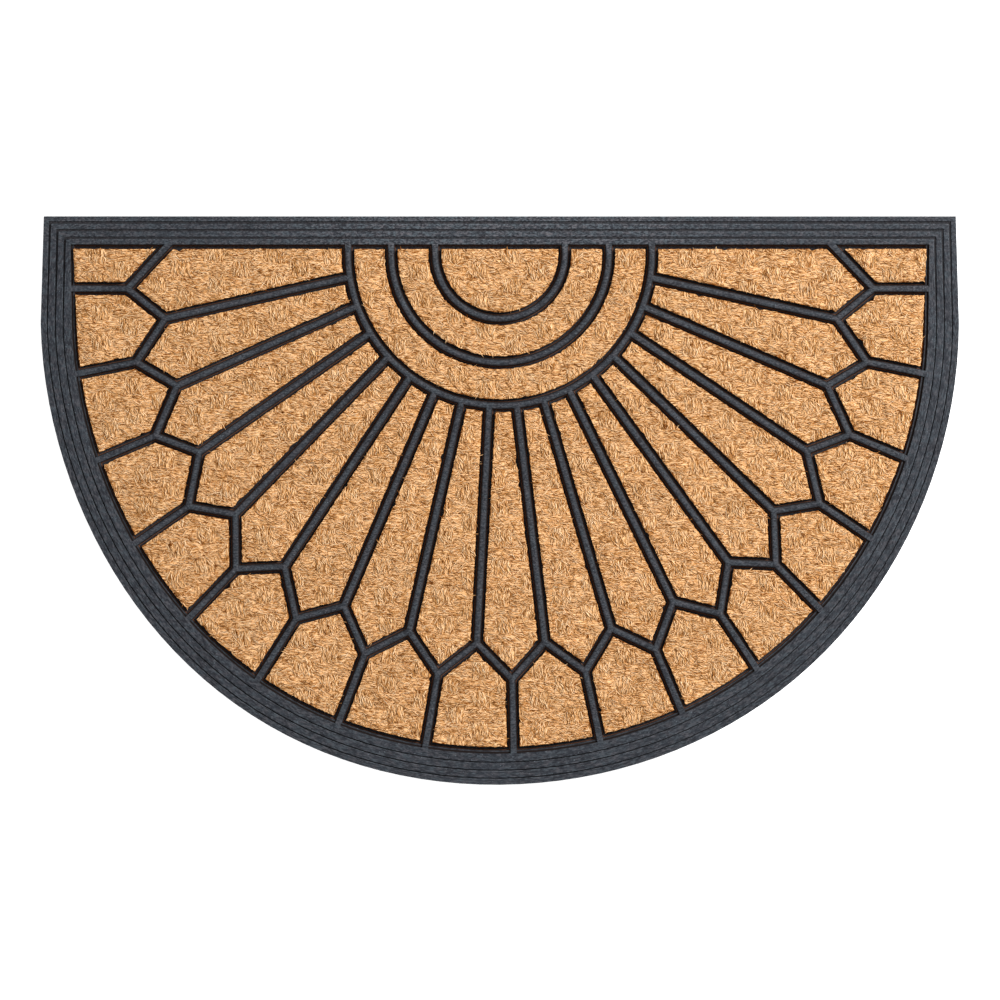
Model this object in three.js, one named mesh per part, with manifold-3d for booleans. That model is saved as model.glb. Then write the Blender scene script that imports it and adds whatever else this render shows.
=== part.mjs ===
// Half-round doormat: one rubber moulding with a fanlight of raised ribs, and a piece of
// woven coir laid in each pocket between them.
//
// Millimetres. +X runs along the straight edge, +Y points to the straight edge and +Z is up.
// The origin is on the floor, under the middle of the mat.

import * as THREE from "three";
import { mergeVertices } from "three/addons/utils/BufferGeometryUtils.js";
import Module from "manifold-3d";

const wasm = await Module();
wasm.setup();

// The mat seen from above
const HALF_WIDTH = 375; // middle to each side at the widest place
const CORNER_HALF_WIDTH = 372.4; // middle to each corner of the straight edge
const SIDE_LENGTH = 88; // straight edge to where the half round starts
const ROUND_DROP = 377.5; // start of the half round to its foot
const ROUND_STEPS = 72; // flats that make up the half round
// The moulding isn't quite round: four and five slow half waves run along its curve.
const FOUR_WAVES = -0.8;
const FIVE_WAVES = -1.05;

// The border: four raised bands, the outermost lowest, with a groove between each two
const BORDER_STRAIGHT = 23.6; // its width along the straight edge
const BORDER_ROUND = 26.2; // its width round the curve
const BANDS = [
  { share: 0.22, top: 4.5 },
  { share: 0.26, top: 5.5 },
  { share: 0.26, top: 6.5 },
  { share: 0.26, top: 7.5 },
];
const GROOVE_WIDTH = 1.0;
const GROOVE_DEPTH = 1.0;
const WALL_DRAFT = 1.0; // the border's inner wall stands this far inside its top edge

// The ribs and what lies between them
const FLOOR_THICKNESS = 2.5; // rubber under the coir
const RIB_TOP = 7.5;
const RIB_WIDTH = 5.6;
const COIR_TOP = 8.6;
const COIR_TO_RIB = 2.35; // open gap beside each rib
const COIR_TO_BORDER_STRAIGHT = 3.3; // from the border's top edge, along the straight edge
const COIR_TO_BORDER_ROUND = 5.0; // and round the curve
const SEAT_GAP = 0.3; // between the back of the coir and the rubber floor

// The half sun at the straight edge
const SUN_BELOW_EDGE = 31; // straight edge to the middle of its rings
const SUN_RINGS = [53, 88.8, 124]; // radii of the three ring ribs
const SUN_STEPS = 24;

// The rays. Each points at one place near the middle of the straight edge.
const RAY_COUNT = 16;
const RAY_AIM = { x: -2, below: 23 };

// The zig-zag rib beyond the petals. Its inner nodes end the rays, and its outer nodes stand
// half way between two rays. Angles are from the left end of the straight edge.
const NODE_SPREAD = 84.65; // degrees, from the middle of the fan to its ends
const NODE_SWELL = 1.54; // degrees that the petals are drawn towards the foot
const NODE_LEAN = 1.62; // degrees that the foot of the fan leans to the right
const INNER_REACH = 276.5; // middle of the sun to the inner nodes at the sides
const OUTER_REACH = 305.2; // and to the outer nodes
const FOOT_REACH = 42; // how much further the nodes lie at the foot
const RIGHT_REACH = 2.3; // how much further they lie on the right, and nearer on the left
const SHOULDER_REACH = 8.1; // how much further they lie between side and foot

// The rim ribs run from the outer nodes to the border, away from this place.
const RIM_AIM = { x: 2.5, below: 60.4 };
const PAST_BORDER = 120; // cutting shapes run this far on, past the border

const rubber = new THREE.MeshStandardMaterial({
  name: "rubber",
  color: 0x3f444a,
  roughness: 0.75,
  metalness: 0,
});
const coir = new THREE.MeshStandardMaterial({
  name: "coir",
  color: 0xce9d6d,
  roughness: 0.95,
  metalness: 0,
});

const toRadians = THREE.MathUtils.degToRad;

// Outline

// The outline runs from the left corner down the left side, round the curve and up to the
// right corner. `round` goes from 0 at the corners to 1 on the curve.
function outlineFromEdge() {
  const points = [{ x: -CORNER_HALF_WIDTH, y: 0, round: 0 }];
  for (let step = 0; step <= ROUND_STEPS; step += 1) {
    const turn = (Math.PI * step) / ROUND_STEPS;
    const wave = FOUR_WAVES * Math.sin(4 * turn) + FIVE_WAVES * Math.sin(5 * turn);
    points.push({
      x: -(HALF_WIDTH + wave) * Math.cos(turn),
      y: -SIDE_LENGTH - (ROUND_DROP + wave) * Math.sin(turn),
      round: 1,
    });
  }
  points.push({ x: CORNER_HALF_WIDTH, y: 0, round: 0 });
  return points;
}

const DEPTH = -Math.min(...outlineFromEdge().map((point) => point.y));
const EDGE_Y = DEPTH / 2; // the straight edge, with the origin half way down the mat

const OUTLINE = outlineFromEdge().map((point) => ({ ...point, y: point.y + EDGE_Y }));

// Moves each side of a closed outline inwards. `distances` holds one distance for each point.
function inset(points, distances) {
  const area = THREE.ShapeUtils.area(points);
  const inward = Math.sign(area);
  return points.map((point, index) => {
    const before = points[(index + points.length - 1) % points.length];
    const after = points[(index + 1) % points.length];
    const arriving = new THREE.Vector2(point.x - before.x, point.y - before.y).normalize();
    const leaving = new THREE.Vector2(after.x - point.x, after.y - point.y).normalize();
    const mitre = 1 + arriving.dot(leaving);
    const distance = (inward * distances[index]) / mitre;
    return new THREE.Vector2(
      point.x - (arriving.y + leaving.y) * distance,
      point.y + (arriving.x + leaving.x) * distance,
    );
  });
}

// The outline inset by a share of the border's width, and by a distance more.
function matInset(share, extraStraight = 0, extraRound = extraStraight) {
  const distances = OUTLINE.map(({ round }) => {
    const width = THREE.MathUtils.lerp(BORDER_STRAIGHT, BORDER_ROUND, round);
    return share * width + THREE.MathUtils.lerp(extraStraight, extraRound, round);
  });
  return inset(OUTLINE, distances);
}

// Solids

function toManifold(geometry) {
  const plain = geometry.clone();
  plain.deleteAttribute("normal");
  plain.deleteAttribute("uv");
  const merged = mergeVertices(plain, 1e-4);
  const mesh = new wasm.Mesh({
    numProp: 3,
    vertProperties: new Float32Array(merged.attributes.position.array),
    triVerts: new Uint32Array(merged.index.array),
  });
  return new wasm.Manifold(mesh);
}

function toMesh(name, solid, material) {
  const result = solid.getMesh();
  const geometry = new THREE.BufferGeometry();
  geometry.setAttribute("position", new THREE.BufferAttribute(result.vertProperties, 3));
  geometry.setIndex(new THREE.BufferAttribute(result.triVerts, 1));
  geometry.computeVertexNormals();
  const mesh = new THREE.Mesh(geometry, material);
  mesh.name = name;
  return mesh;
}

// An upright solid with the given outline, and a hole in it if one is given.
function prism(points, low, high, hole = null) {
  const shape = new THREE.Shape(points);
  if (hole) {
    shape.holes.push(new THREE.Path(hole));
  }
  const geometry = new THREE.ExtrudeGeometry(shape, {
    depth: high - low,
    bevelEnabled: false,
    curveSegments: SUN_STEPS,
  });
  geometry.translate(0, 0, low);
  return toManifold(geometry);
}

// A half disc about the middle of the sun, whose sides run on straight up past the edge.
function sunPrism(radius, low, high) {
  const middle = EDGE_Y - SUN_BELOW_EDGE;
  const shape = new THREE.Shape();
  shape.moveTo(-radius, EDGE_Y);
  shape.lineTo(-radius, middle);
  shape.absarc(0, middle, radius, Math.PI, 2 * Math.PI, false);
  shape.lineTo(radius, EDGE_Y);
  return prism(shape.getPoints(SUN_STEPS), low, high);
}

// Nodes of the ribs

function belowEdge({ x, below }) {
  return new THREE.Vector2(x, EDGE_Y - below);
}

// A station is a ray's number. The inner nodes lie at whole stations and the outer ones half
// way between two.
function node(station, reach) {
  const middle = (RAY_COUNT + 1) / 2;
  const along = (station - middle) / (RAY_COUNT / 2);
  const angle = toRadians(
    90 +
      NODE_SPREAD * along -
      NODE_SWELL * Math.sin(Math.PI * along) +
      NODE_LEAN * Math.cos((Math.PI * along) / 2) ** 2,
  );
  const radius =
    reach +
    FOOT_REACH * Math.sin(angle) ** 2 -
    RIGHT_REACH * Math.sin(2 * angle) +
    SHOULDER_REACH * Math.sin(2 * angle) ** 2;
  const sun = belowEdge({ x: 0, below: SUN_BELOW_EDGE });
  return new THREE.Vector2(sun.x - radius * Math.cos(angle), sun.y - radius * Math.sin(angle));
}

function outerNode(petal) {
  return node(petal - 0.5, OUTER_REACH);
}

// Past the first and the last ray the zig-zag runs on into the straight border.
function innerNode(ray) {
  const point = node(ray, INNER_REACH);
  if (ray > 0 && ray <= RAY_COUNT) {
    return point;
  }
  const from = outerNode(ray === 0 ? 1 : RAY_COUNT + 1);
  const share = (EDGE_Y - from.y) / (point.y - from.y);
  return from.clone().lerp(point, share);
}

function rimEnd(petal) {
  const from = outerNode(petal);
  const away = from.clone().sub(belowEdge(RIM_AIM)).setLength(PAST_BORDER);
  return from.add(away);
}

// Outlines of the cells, along the middle lines of the ribs around them

function petalOutline(petal) {
  return [belowEdge(RAY_AIM), innerNode(petal - 1), outerNode(petal), innerNode(petal)];
}

function rimOutline(cell) {
  if (cell === 1) {
    const corner = new THREE.Vector2(-HALF_WIDTH - PAST_BORDER, EDGE_Y + PAST_BORDER);
    return [corner, innerNode(0), outerNode(1), rimEnd(1)];
  }
  if (cell === RAY_COUNT + 2) {
    const corner = new THREE.Vector2(HALF_WIDTH + PAST_BORDER, EDGE_Y + PAST_BORDER);
    return [rimEnd(cell - 1), outerNode(cell - 1), innerNode(cell - 1), corner];
  }
  return [
    rimEnd(cell - 1),
    outerNode(cell - 1),
    innerNode(cell - 1),
    outerNode(cell),
    rimEnd(cell),
  ];
}

// Cells. `fit` says how far a cell's walls stand from the middle lines of the ribs and from
// the border, and between which heights it lies.

function wedge(outline, fit) {
  const distances = outline.map(() => fit.fromRib);
  return prism(inset(outline, distances), fit.low, fit.high);
}

function field(fit) {
  return prism(matInset(1, fit.fromBorderStraight, fit.fromBorderRound), fit.low, fit.high);
}

function sunCell(ring, fit) {
  const outer = sunPrism(SUN_RINGS[ring] - fit.fromRib, fit.low, fit.high);
  const cell = outer.intersect(field(fit));
  if (ring === 0) {
    return cell;
  }
  return cell.subtract(sunPrism(SUN_RINGS[ring - 1] + fit.fromRib, fit.low, fit.high));
}

function petalCell(petal, fit) {
  const sun = sunPrism(SUN_RINGS[SUN_RINGS.length - 1] + fit.fromRib, fit.low, fit.high);
  return wedge(petalOutline(petal), fit).intersect(field(fit)).subtract(sun);
}

function rimCell(cell, fit) {
  return wedge(rimOutline(cell), fit).intersect(field(fit));
}

function allCells(fit) {
  const cells = [];
  const twoDigits = (number) => String(number).padStart(2, "0");
  cells.push({ name: "coir_sun_disc", solid: sunCell(0, fit) });
  cells.push({ name: "coir_sun_band_1", solid: sunCell(1, fit) });
  cells.push({ name: "coir_sun_band_2", solid: sunCell(2, fit) });
  for (let petal = 1; petal <= RAY_COUNT + 1; petal += 1) {
    cells.push({ name: `coir_petal_${twoDigits(petal)}`, solid: petalCell(petal, fit) });
  }
  for (let cell = 1; cell <= RAY_COUNT + 2; cell += 1) {
    cells.push({ name: `coir_rim_${twoDigits(cell)}`, solid: rimCell(cell, fit) });
  }
  return cells;
}

// Rubber tray

// The border is a stack of plates, each one band in from the last, with grooves between.
function trayBlank() {
  let share = 0;
  let blank = prism(matInset(0), 0, BANDS[0].top);
  for (let band = 1; band < BANDS.length; band += 1) {
    share += BANDS[band - 1].share;
    blank = blank.add(prism(matInset(share), 0, BANDS[band].top));
    const groove = prism(
      matInset(share, -GROOVE_WIDTH / 2),
      BANDS[band - 1].top - GROOVE_DEPTH,
      BANDS[band].top + GROOVE_DEPTH,
      matInset(share, GROOVE_WIDTH / 2),
    );
    blank = blank.subtract(groove);
  }
  return blank;
}

function rubberTray() {
  const pocketFit = {
    fromRib: RIB_WIDTH / 2,
    fromBorderStraight: WALL_DRAFT,
    fromBorderRound: WALL_DRAFT,
    low: FLOOR_THICKNESS,
    high: RIB_TOP + 1,
  };
  let tray = trayBlank();
  for (const pocket of allCells(pocketFit)) {
    tray = tray.subtract(pocket.solid);
  }
  return tray;
}

// Coir inlays

const coirFit = {
  fromRib: RIB_WIDTH / 2 + COIR_TO_RIB,
  fromBorderStraight: COIR_TO_BORDER_STRAIGHT,
  fromBorderRound: COIR_TO_BORDER_ROUND,
  low: FLOOR_THICKNESS + SEAT_GAP,
  high: COIR_TOP,
};

const doormat = new THREE.Group();
doormat.name = "doormat";
doormat.add(toMesh("rubber_tray", rubberTray(), rubber));
for (const inlay of allCells(coirFit)) {
  doormat.add(toMesh(inlay.name, inlay.solid, coir));
}

export default doormat;
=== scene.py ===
# %% [markdown]
# # A half-round doormat of rubber and coir
# The real mat is one moulding of black rubber: a thin floor, a border of four stepped bands, and
# raised ribs that draw a fanlight. In each pocket between the ribs lies a flat piece cut from a
# coarse woven coir mat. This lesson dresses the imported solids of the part: the rubber gets soft
# edges and drafted walls, and each coir solid becomes a woven piece with a pile of loose fibres.
# Everything is in metres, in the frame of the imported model, so nothing has to be fitted.

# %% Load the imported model
import math

import bmesh
import bpy
import numpy as np
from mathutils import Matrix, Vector, noise
from mathutils.geometry import delaunay_2d_cdt


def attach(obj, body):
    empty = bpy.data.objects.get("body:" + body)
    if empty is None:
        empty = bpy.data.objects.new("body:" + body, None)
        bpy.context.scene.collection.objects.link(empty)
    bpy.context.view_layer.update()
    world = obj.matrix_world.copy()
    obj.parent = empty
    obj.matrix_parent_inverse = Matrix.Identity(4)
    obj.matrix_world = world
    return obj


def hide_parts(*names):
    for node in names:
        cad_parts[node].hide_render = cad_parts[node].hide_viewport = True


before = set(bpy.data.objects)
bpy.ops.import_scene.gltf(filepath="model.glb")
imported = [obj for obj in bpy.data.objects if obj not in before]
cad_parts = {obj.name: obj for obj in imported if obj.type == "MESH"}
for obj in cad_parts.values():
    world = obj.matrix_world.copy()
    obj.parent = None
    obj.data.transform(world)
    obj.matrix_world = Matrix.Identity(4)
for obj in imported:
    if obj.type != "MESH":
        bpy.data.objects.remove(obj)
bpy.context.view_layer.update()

MM = 0.001
INLAYS = sorted(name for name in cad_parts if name.startswith("coir_"))
print("coir inlays", len(INLAYS))

# %% [markdown]
# ## The camera
# The photograph looks straight down on the mat, with the straight edge at the top. A long lens
# from four and a half metres up shows the outer walls as little as the photograph does. Only the
# width that fills the picture has to be right, and the distance follows from it.

# %% Camera straight above the mat
PICTURE_WIDTH = 816.2 * MM  # width of the picture, at the height of the outermost band
OUTER_BAND = 4.5 * MM
LENS = 200.0
SENSOR = 36.0

camera_data = bpy.data.cameras.new("photo_camera")
camera_data.lens = LENS
camera_data.sensor_width = SENSOR
camera = bpy.data.objects.new("photo_camera", camera_data)
camera.location = (0.1 * MM, 0.4 * MM, OUTER_BAND + PICTURE_WIDTH * LENS / SENSOR)
bpy.context.collection.objects.link(camera)
bpy.context.scene.camera = camera
print("camera height in m", round(camera.location.z, 3))

# %% [markdown]
# ## Helpers for node trees
# Both the shapes and the materials below are node trees built in code. Writing each one out link
# by link is long and hard to read, so small functions do it. The main one adds a node and fills
# its inputs: one that gets a socket is linked, one that gets a node is linked to that node's first
# output, and one that gets a value is set. Another runs a finished tree on an object and keeps
# the result as a plain mesh.

# %% Functions that build and run node trees
GEOMETRY = "NodeSocketGeometry"
BOOL = "NodeSocketBool"
FLOAT = "NodeSocketFloat"
VECTOR = "NodeSocketVector"
COLOUR = "NodeSocketColor"
MATERIAL = "NodeSocketMaterial"
SOCKET_OF = {bool: BOOL, int: "NodeSocketInt", float: FLOAT}


def give(tree, value, target):
    """Links a socket, or a node's first output, to an input. Any other value is set there."""
    if isinstance(value, bpy.types.Node):
        value = value.outputs[0]
    if isinstance(value, bpy.types.NodeSocket):
        tree.links.new(value, target)
    else:
        target.default_value = value


def add(tree, kind, inputs=None, **settings):
    """A new node with its settings and inputs. A number picks an input by its place."""
    made = tree.nodes.new(kind)
    for setting, value in settings.items():
        setattr(made, setting, value)
    for name, value in (inputs or {}).items():
        if isinstance(name, int):
            target = made.inputs[name]
        else:
            target = next(shown for shown in made.inputs if shown.name == name and shown.enabled)
        give(tree, value, target)
    return made


def new_tree(name, kind, inputs, outputs):
    """An empty tree with named sockets. An input is given by its type or by its usual value."""
    tree = bpy.data.node_groups.new(name, kind)
    for label, usual in inputs.items():
        socket_type = usual if isinstance(usual, str) else SOCKET_OF[type(usual)]
        made = tree.interface.new_socket(label, in_out="INPUT", socket_type=socket_type)
        if socket_type != usual:
            made.default_value = usual
    for label, socket_type in outputs.items():
        tree.interface.new_socket(label, in_out="OUTPUT", socket_type=socket_type)
    return tree, tree.nodes.new("NodeGroupInput").outputs, tree.nodes.new("NodeGroupOutput").inputs


def run_tree(name, source, tree, values):
    """A new object whose plain mesh is what the tree makes of the source mesh."""
    carrier = bpy.data.objects.new(name, source)
    bpy.context.collection.objects.link(carrier)
    modifier = carrier.modifiers.new(tree.name, "NODES")
    modifier.node_group = tree
    for item in tree.interface.items_tree:
        if item.in_out == "INPUT" and item.name in values:
            modifier[item.identifier] = values[item.name]
    evaluated = carrier.evaluated_get(bpy.context.evaluated_depsgraph_get())
    result = bpy.data.meshes.new_from_object(evaluated)
    carrier.modifiers.remove(modifier)
    carrier.data = result
    result.name = name
    return carrier


# %% Functions for numbers and vectors in a tree
def calc(tree, operation, *values):
    """The result of one Math node on sockets or numbers."""
    return add(tree, "ShaderNodeMath", dict(enumerate(values)), operation=operation).outputs[0]


def vectors(tree, operation, first, second=None):
    """The result of one Vector Math node. Only SCALE takes a number second."""
    inputs = {0: first}
    if second is not None:
        inputs["Scale" if operation == "SCALE" else 1] = second
    made = add(tree, "ShaderNodeVectorMath", inputs, operation=operation)
    return made.outputs["Value" if operation == "LENGTH" else "Vector"]


def xyz(tree, x=0.0, y=0.0, z=0.0):
    """A vector from its three parts."""
    return add(tree, "ShaderNodeCombineXYZ", {"X": x, "Y": y, "Z": z}).outputs[0]


def split(tree, vector):
    """The three parts of a vector."""
    return add(tree, "ShaderNodeSeparateXYZ", {0: vector}).outputs


def ease(tree, value, low, high):
    """Goes smoothly from 0 to 1 while value goes from low to high."""
    limits = {"Value": value, "From Min": low, "From Max": high}
    return add(tree, "ShaderNodeMapRange", limits, interpolation_type="SMOOTHSTEP").outputs[0]


def noise_at(tree, place, scale, detail, **more):
    """The value of a noise texture at a place."""
    inputs = {"Vector": place, "Scale": scale, "Detail": detail, **more}
    return add(tree, "ShaderNodeTexNoise", inputs).outputs[0]


# %% Functions for geometry in a tree
def noted(tree, name, data_type="FLOAT"):
    """What the points or edges carry under that name, or 0."""
    kind = "GeometryNodeInputNamedAttribute"
    return add(tree, kind, {"Name": name}, data_type=data_type).outputs[0]


def note(tree, geometry, name, value, domain="POINT", chosen=True):
    """The geometry with a value noted on it under a name."""
    inputs = {"Geometry": geometry, "Selection": chosen, "Name": name, "Value": value}
    return add(
        tree, "GeometryNodeStoreNamedAttribute", inputs, data_type="FLOAT", domain=domain
    ).outputs[0]


def moved(tree, geometry, offset, chosen=True):
    """The geometry with its chosen points moved."""
    inputs = {"Geometry": geometry, "Selection": chosen, "Offset": offset}
    return add(tree, "GeometryNodeSetPosition", inputs).outputs[0]


def joined(tree, parts):
    """Several geometries as one."""
    join = add(tree, "GeometryNodeJoinGeometry")
    for part in parts:
        tree.links.new(part, join.inputs[0])
    return join.outputs[0]


def filled(tree, height, outlines, down=False):
    """A flat face at a height, inside outlines that are given as (mesh, chosen edges)."""
    curves = []
    for mesh, chosen in outlines:
        inputs = {"Mesh": mesh, "Selection": chosen}
        curves.append(add(tree, "GeometryNodeMeshToCurve", inputs).outputs[0])
    flat = add(tree, "GeometryNodeFillCurve", {"Curve": joined(tree, curves)})
    face = moved(tree, flat, xyz(tree, z=height))
    return add(tree, "GeometryNodeFlipFaces", {"Mesh": face}).outputs[0] if down else face


def finish_tree(tree, geometry, given, made):
    """The end of each tree: Realize Instances, Set Material and the output."""
    real = add(tree, "GeometryNodeRealizeInstances", {"Geometry": geometry})
    dressed = {"Geometry": real, "Material": given["Material"]}
    give(tree, add(tree, "GeometryNodeSetMaterial", dressed), made["Geometry"])


# %% [markdown]
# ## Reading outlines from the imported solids
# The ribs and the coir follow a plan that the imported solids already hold. Each level face of a
# solid is a set of triangles, so its outline is the row of edges that have only one such triangle
# beside them. Reading the plan from the solids keeps the dressed mat true to them. The solid's
# own mesh is left alone, and a merged copy is read.

# %% Outlines of the level faces of a solid
LEAST_SIDE = 3 * MM  # shorter sides of an outline lose a point
LEAST_TURN = 0.002  # a point that turns less lies on a straight side


def neighbours(points):
    """Each point of a closed outline, with the one before it and the one after it."""
    return zip([points[-1], *points], points, [*points[1:], points[0]])


def level_outlines(node_name, height, facing):
    """Closed outlines, each a list of (x, y), of the faces at that height that face up or down."""
    solid = bmesh.new()
    solid.from_mesh(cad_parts[node_name].data)
    bmesh.ops.remove_doubles(solid, verts=solid.verts, dist=1e-6)
    level = []  # a list, because the faces of a set come in another order in each run
    for face in solid.faces:
        if face.normal.z * facing > 0.99 and abs(face.calc_center_median().z - height) < 1e-5:
            level.append(face)
    on_level = set(level)
    following = {}
    for face in level:
        for corner in face.loops:
            if not any(other in on_level for other in corner.edge.link_faces if other != face):
                following[corner.vert] = corner.link_loop_next.vert
    outlines = []
    while following:
        start, step = following.popitem()
        outline = [start.co.xy]
        while step != start:
            outline.append(step.co.xy)
            step = following.pop(step)
        outlines.append(tidy_outline(outline))
    solid.free()
    return outlines


def corner_turns(points):
    """How sharply the outline turns at each of its points."""
    turns = []
    for before, point, after in neighbours(points):
        turns.append(abs((point - before).normalized().cross((after - point).normalized())))
    return turns


def tidy_outline(points):
    """The outline without needless points, running anticlockwise.

    A point goes if it lies on a straight side, or beside a sharper corner: so close together,
    the two would cross over when the outline is moved inwards or outwards.
    """
    points = [point for point, turn in zip(points, corner_turns(points)) if turn > LEAST_TURN]
    while True:
        turns = corner_turns(points)
        sides = [(after - point).length for _, point, after in neighbours(points)]
        shortest = sides.index(min(sides))
        if sides[shortest] > LEAST_SIDE:
            break
        following = (shortest + 1) % len(points)
        points.pop(shortest if turns[shortest] < turns[following] else following)
    area = sum(point.cross(after) for _, point, after in neighbours(points))
    return points if area > 0 else points[::-1]


def inward_mitres(points):
    """For each corner, the move that takes both its sides one unit into the outline."""
    moves = []
    for before, point, after in neighbours(points):
        arriving = (point - before).normalized()
        leaving = (after - point).normalized()
        across = Vector((-arriving.y - leaving.y, arriving.x + leaving.x))
        moves.append(across / (1 + arriving.dot(leaving)))
    return moves


FLOOR_TOP = 2.5 * MM
mat_outline = level_outlines("rubber_tray", 0, -1)[0]
pockets = level_outlines("rubber_tray", FLOOR_TOP, 1)
print("points of the mat's outline", len(mat_outline), "and pockets", len(pockets))

# %% [markdown]
# ## The rubber moulding
# A moulded wall is never square: it leans a little so that the mould lets go, and its edges are
# round. Such walls could be bevelled afterwards, but a bevel on a triangulated solid is messy. It
# is cleaner to grow each wall from its outline, one strip at a time. The step below does that:
# it extrudes the front edges, moves the new ones inwards and up, and hands them on as the front.
# Each point of an outline can carry a size and a ledge of its own, which a step takes a share of.
# A step also notes a number for the material to read: above 0 an edge is painted paler, partly
# worn and partly painted highlight, and below 0, down to -1, it is painted dark as painted shade.

# %% One step of a moulded profile
profile_step, given, made = new_tree(
    "Profile step",
    "GeometryNodeTree",
    {
        "Geometry": GEOMETRY,
        "Front": True,
        "Border share": 0.0,
        "Detail share": 0.0,
        "Ledge share": 0.0,
        "Inset": 0.0,
        "Rise": 0.0,
        "Wear": 0.0,
    },
    {"Geometry": GEOMETRY, "Front": BOOL},
)
extruded = add(
    profile_step,
    "GeometryNodeExtrudeMesh",
    {"Mesh": given["Geometry"], "Selection": given["Front"], "Offset Scale": 0.0},
    mode="EDGES",
)
top = extruded.outputs["Top"]
inset = given["Inset"]
for size in ["border", "detail"]:
    share = given[size.capitalize() + " share"]
    inset = calc(profile_step, "MULTIPLY_ADD", share, noted(profile_step, size), inset)
way = xyz(profile_step, z=given["Rise"])
for direction, amount in [("inward", inset), ("ledge", given["Ledge share"])]:
    direction = noted(profile_step, direction, "FLOAT_VECTOR")
    way = vectors(profile_step, "ADD", way, vectors(profile_step, "SCALE", direction, amount))
grown = moved(profile_step, extruded, way, top)
# The new points carry the painted highlight, worn paleness and painted shade of this step.
give(profile_step, note(profile_step, grown, "wear", given["Wear"], chosen=top), made["Geometry"])
give(profile_step, top, made["Front"])


def run_profile(tree, geometry, front, steps):
    """A chain of profile steps. Each row is (inset, rise, painted light and wear, shares), numbers
    or sockets.
    """
    for inset, rise, wear, shares in steps:
        values = {"Geometry": geometry, "Front": front, "Inset": inset, "Rise": rise, "Wear": wear}
        for size, share in shares.items():
            values[size.capitalize() + " share"] = share
        step = add(tree, "GeometryNodeGroup", values, node_tree=profile_step)
        geometry, front = step.outputs
    return geometry, front


# %% [markdown]
# ## The tree of the moulding
# The border is the same few moves over and over: across the top of a band, down into a narrow
# groove, and up to the next band, which stands a little higher. A pocket's profile starts at its
# hollow foot and climbs a leaning wall. On the side of the border a low ledge runs along the wall,
# with painted shade in its corner; the feet of the walls and the grooves get painted shade too,
# and rounded edges are painted paler, as worn edges and painted highlight. The last steps round
# the edge, a lot along the ribs and a little along the border. What is left is flat, and Fill Curve
# closes it: the top, the floors, the underside.

# %% Grow the rubber from its outlines
BAND_SHARES = [0.22, 0.26, 0.26, 0.26]  # of the border's width, outermost first
RIB_TOP = 7.5 * MM

moulding, given, made = new_tree(
    "Rubber moulding",
    "GeometryNodeTree",
    {
        "Geometry": GEOMETRY,
        "Outer band height": OUTER_BAND,
        "Band rise": 1.0 * MM,
        "Groove depth": 1.0 * MM,
        "Edge round": 0.35 * MM,
        "Foot round": 0.5 * MM,
        "Wall lean": 0.3 * MM,
        "Crown height": 1.1 * MM,
        "Pale strip": 0.7 * MM,
        "Floor height": FLOOR_TOP,
        "Ledge height": 5.6 * MM,
        "Rib height": RIB_TOP,
        "Material": MATERIAL,
    },
    {"Geometry": GEOMETRY},
)


def times(value, factor):
    """A moulding size times a plain number."""
    return calc(moulding, "MULTIPLY", value, factor)


def less(value, *others):
    """A moulding size less some others."""
    for other in others:
        value = calc(moulding, "SUBTRACT", value, other)
    return value


def rounding(share):
    """A share of the edge's radius."""
    return times(given["Edge round"], share)


pale_strip = given["Pale strip"]
is_pocket = noted(moulding, "pocket", "BOOLEAN")
parted = add(
    moulding,
    "GeometryNodeSeparateGeometry",
    {"Geometry": given["Geometry"], "Selection": is_pocket},
    domain="EDGE",
)
pocket_lines, border_lines = parted.outputs

# The third number of a row is painted light: 1 paints a band's rounded edge paler, as worn edge and
# painted highlight, and -0.5 paints painted shade at the bottom of a groove.
border_steps = [
    (rounding(0.3), less(given["Outer band height"], rounding(1.1)), 0.3, {}),
    (rounding(0.3), rounding(0.7), 1, {}),
    (rounding(0.7), rounding(0.4), 1, {}),
    (pale_strip, 0, 0, {}),
]
to_groove = calc(moulding, "ADD", given["Edge round"], pale_strip)
spent = calc(moulding, "ADD", rounding(1.3), pale_strip)
down = times(less(given["Groove depth"], given["Edge round"]), -1)
up = less(given["Band rise"], down)
for number, share in enumerate(BAND_SHARES[:-1]):
    across = less(times(spent, -1), to_groove)
    grooves_spent = -0.5 if number == 0 else -1.0
    border_steps += [
        (across, 0, 0, {"border": share, "detail": grooves_spent}),
        (pale_strip, 0, 1, {}),
        (rounding(0.7), rounding(-0.3), 0.5, {}),
        (rounding(0.3), rounding(-0.7), 0, {}),
        (0, down, -0.5, {"detail": 0.15}),
        (0, 0, -0.5, {"detail": 0.7}),
        (0, up, 0, {"detail": 0.15}),
        (rounding(0.3), rounding(0.7), 0.5, {}),
        (rounding(0.7), rounding(0.3), 1, {}),
        (pale_strip, 0, 0, {}),
    ]
    spent = to_groove
border_steps.append((0, 0, 0, {"border": 0.03}))

crown = given["Crown height"]
foot_rise = times(given["Foot round"], 0.5)
ledge_wall = less(given["Ledge height"], given["Floor height"], foot_rise, rounding(0.4))
upper_wall = less(given["Rib height"], given["Ledge height"], crown)
# The third number of a row is painted light: -1 paints painted shade at the hollow foot and in the
# channel of the ledge, and on a rib's crown the darker shoulders are painted shade and the paler top
# a painted highlight.
pocket_steps = [
    (times(given["Foot round"], -1), foot_rise, -1, {}),
    (times(given["Wall lean"], -1), ledge_wall, -0.5, {}),
    (rounding(-0.4), rounding(0.4), -0.2, {}),
    (0, 0, -0.2, {"ledge": 0.42}),
    (0, 0, -1, {"ledge": 0.1}),
    (0, 0, -1, {"ledge": 0.48}),
    (times(given["Wall lean"], -0.5), upper_wall, -0.8, {}),
    (0, times(crown, 0.5), -0.5, {"detail": -0.25}),
    (0, times(crown, 0.3), -0.15, {"detail": -0.3}),
    (0, times(crown, 0.2), 0.5, {"detail": -0.45}),
]

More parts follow.
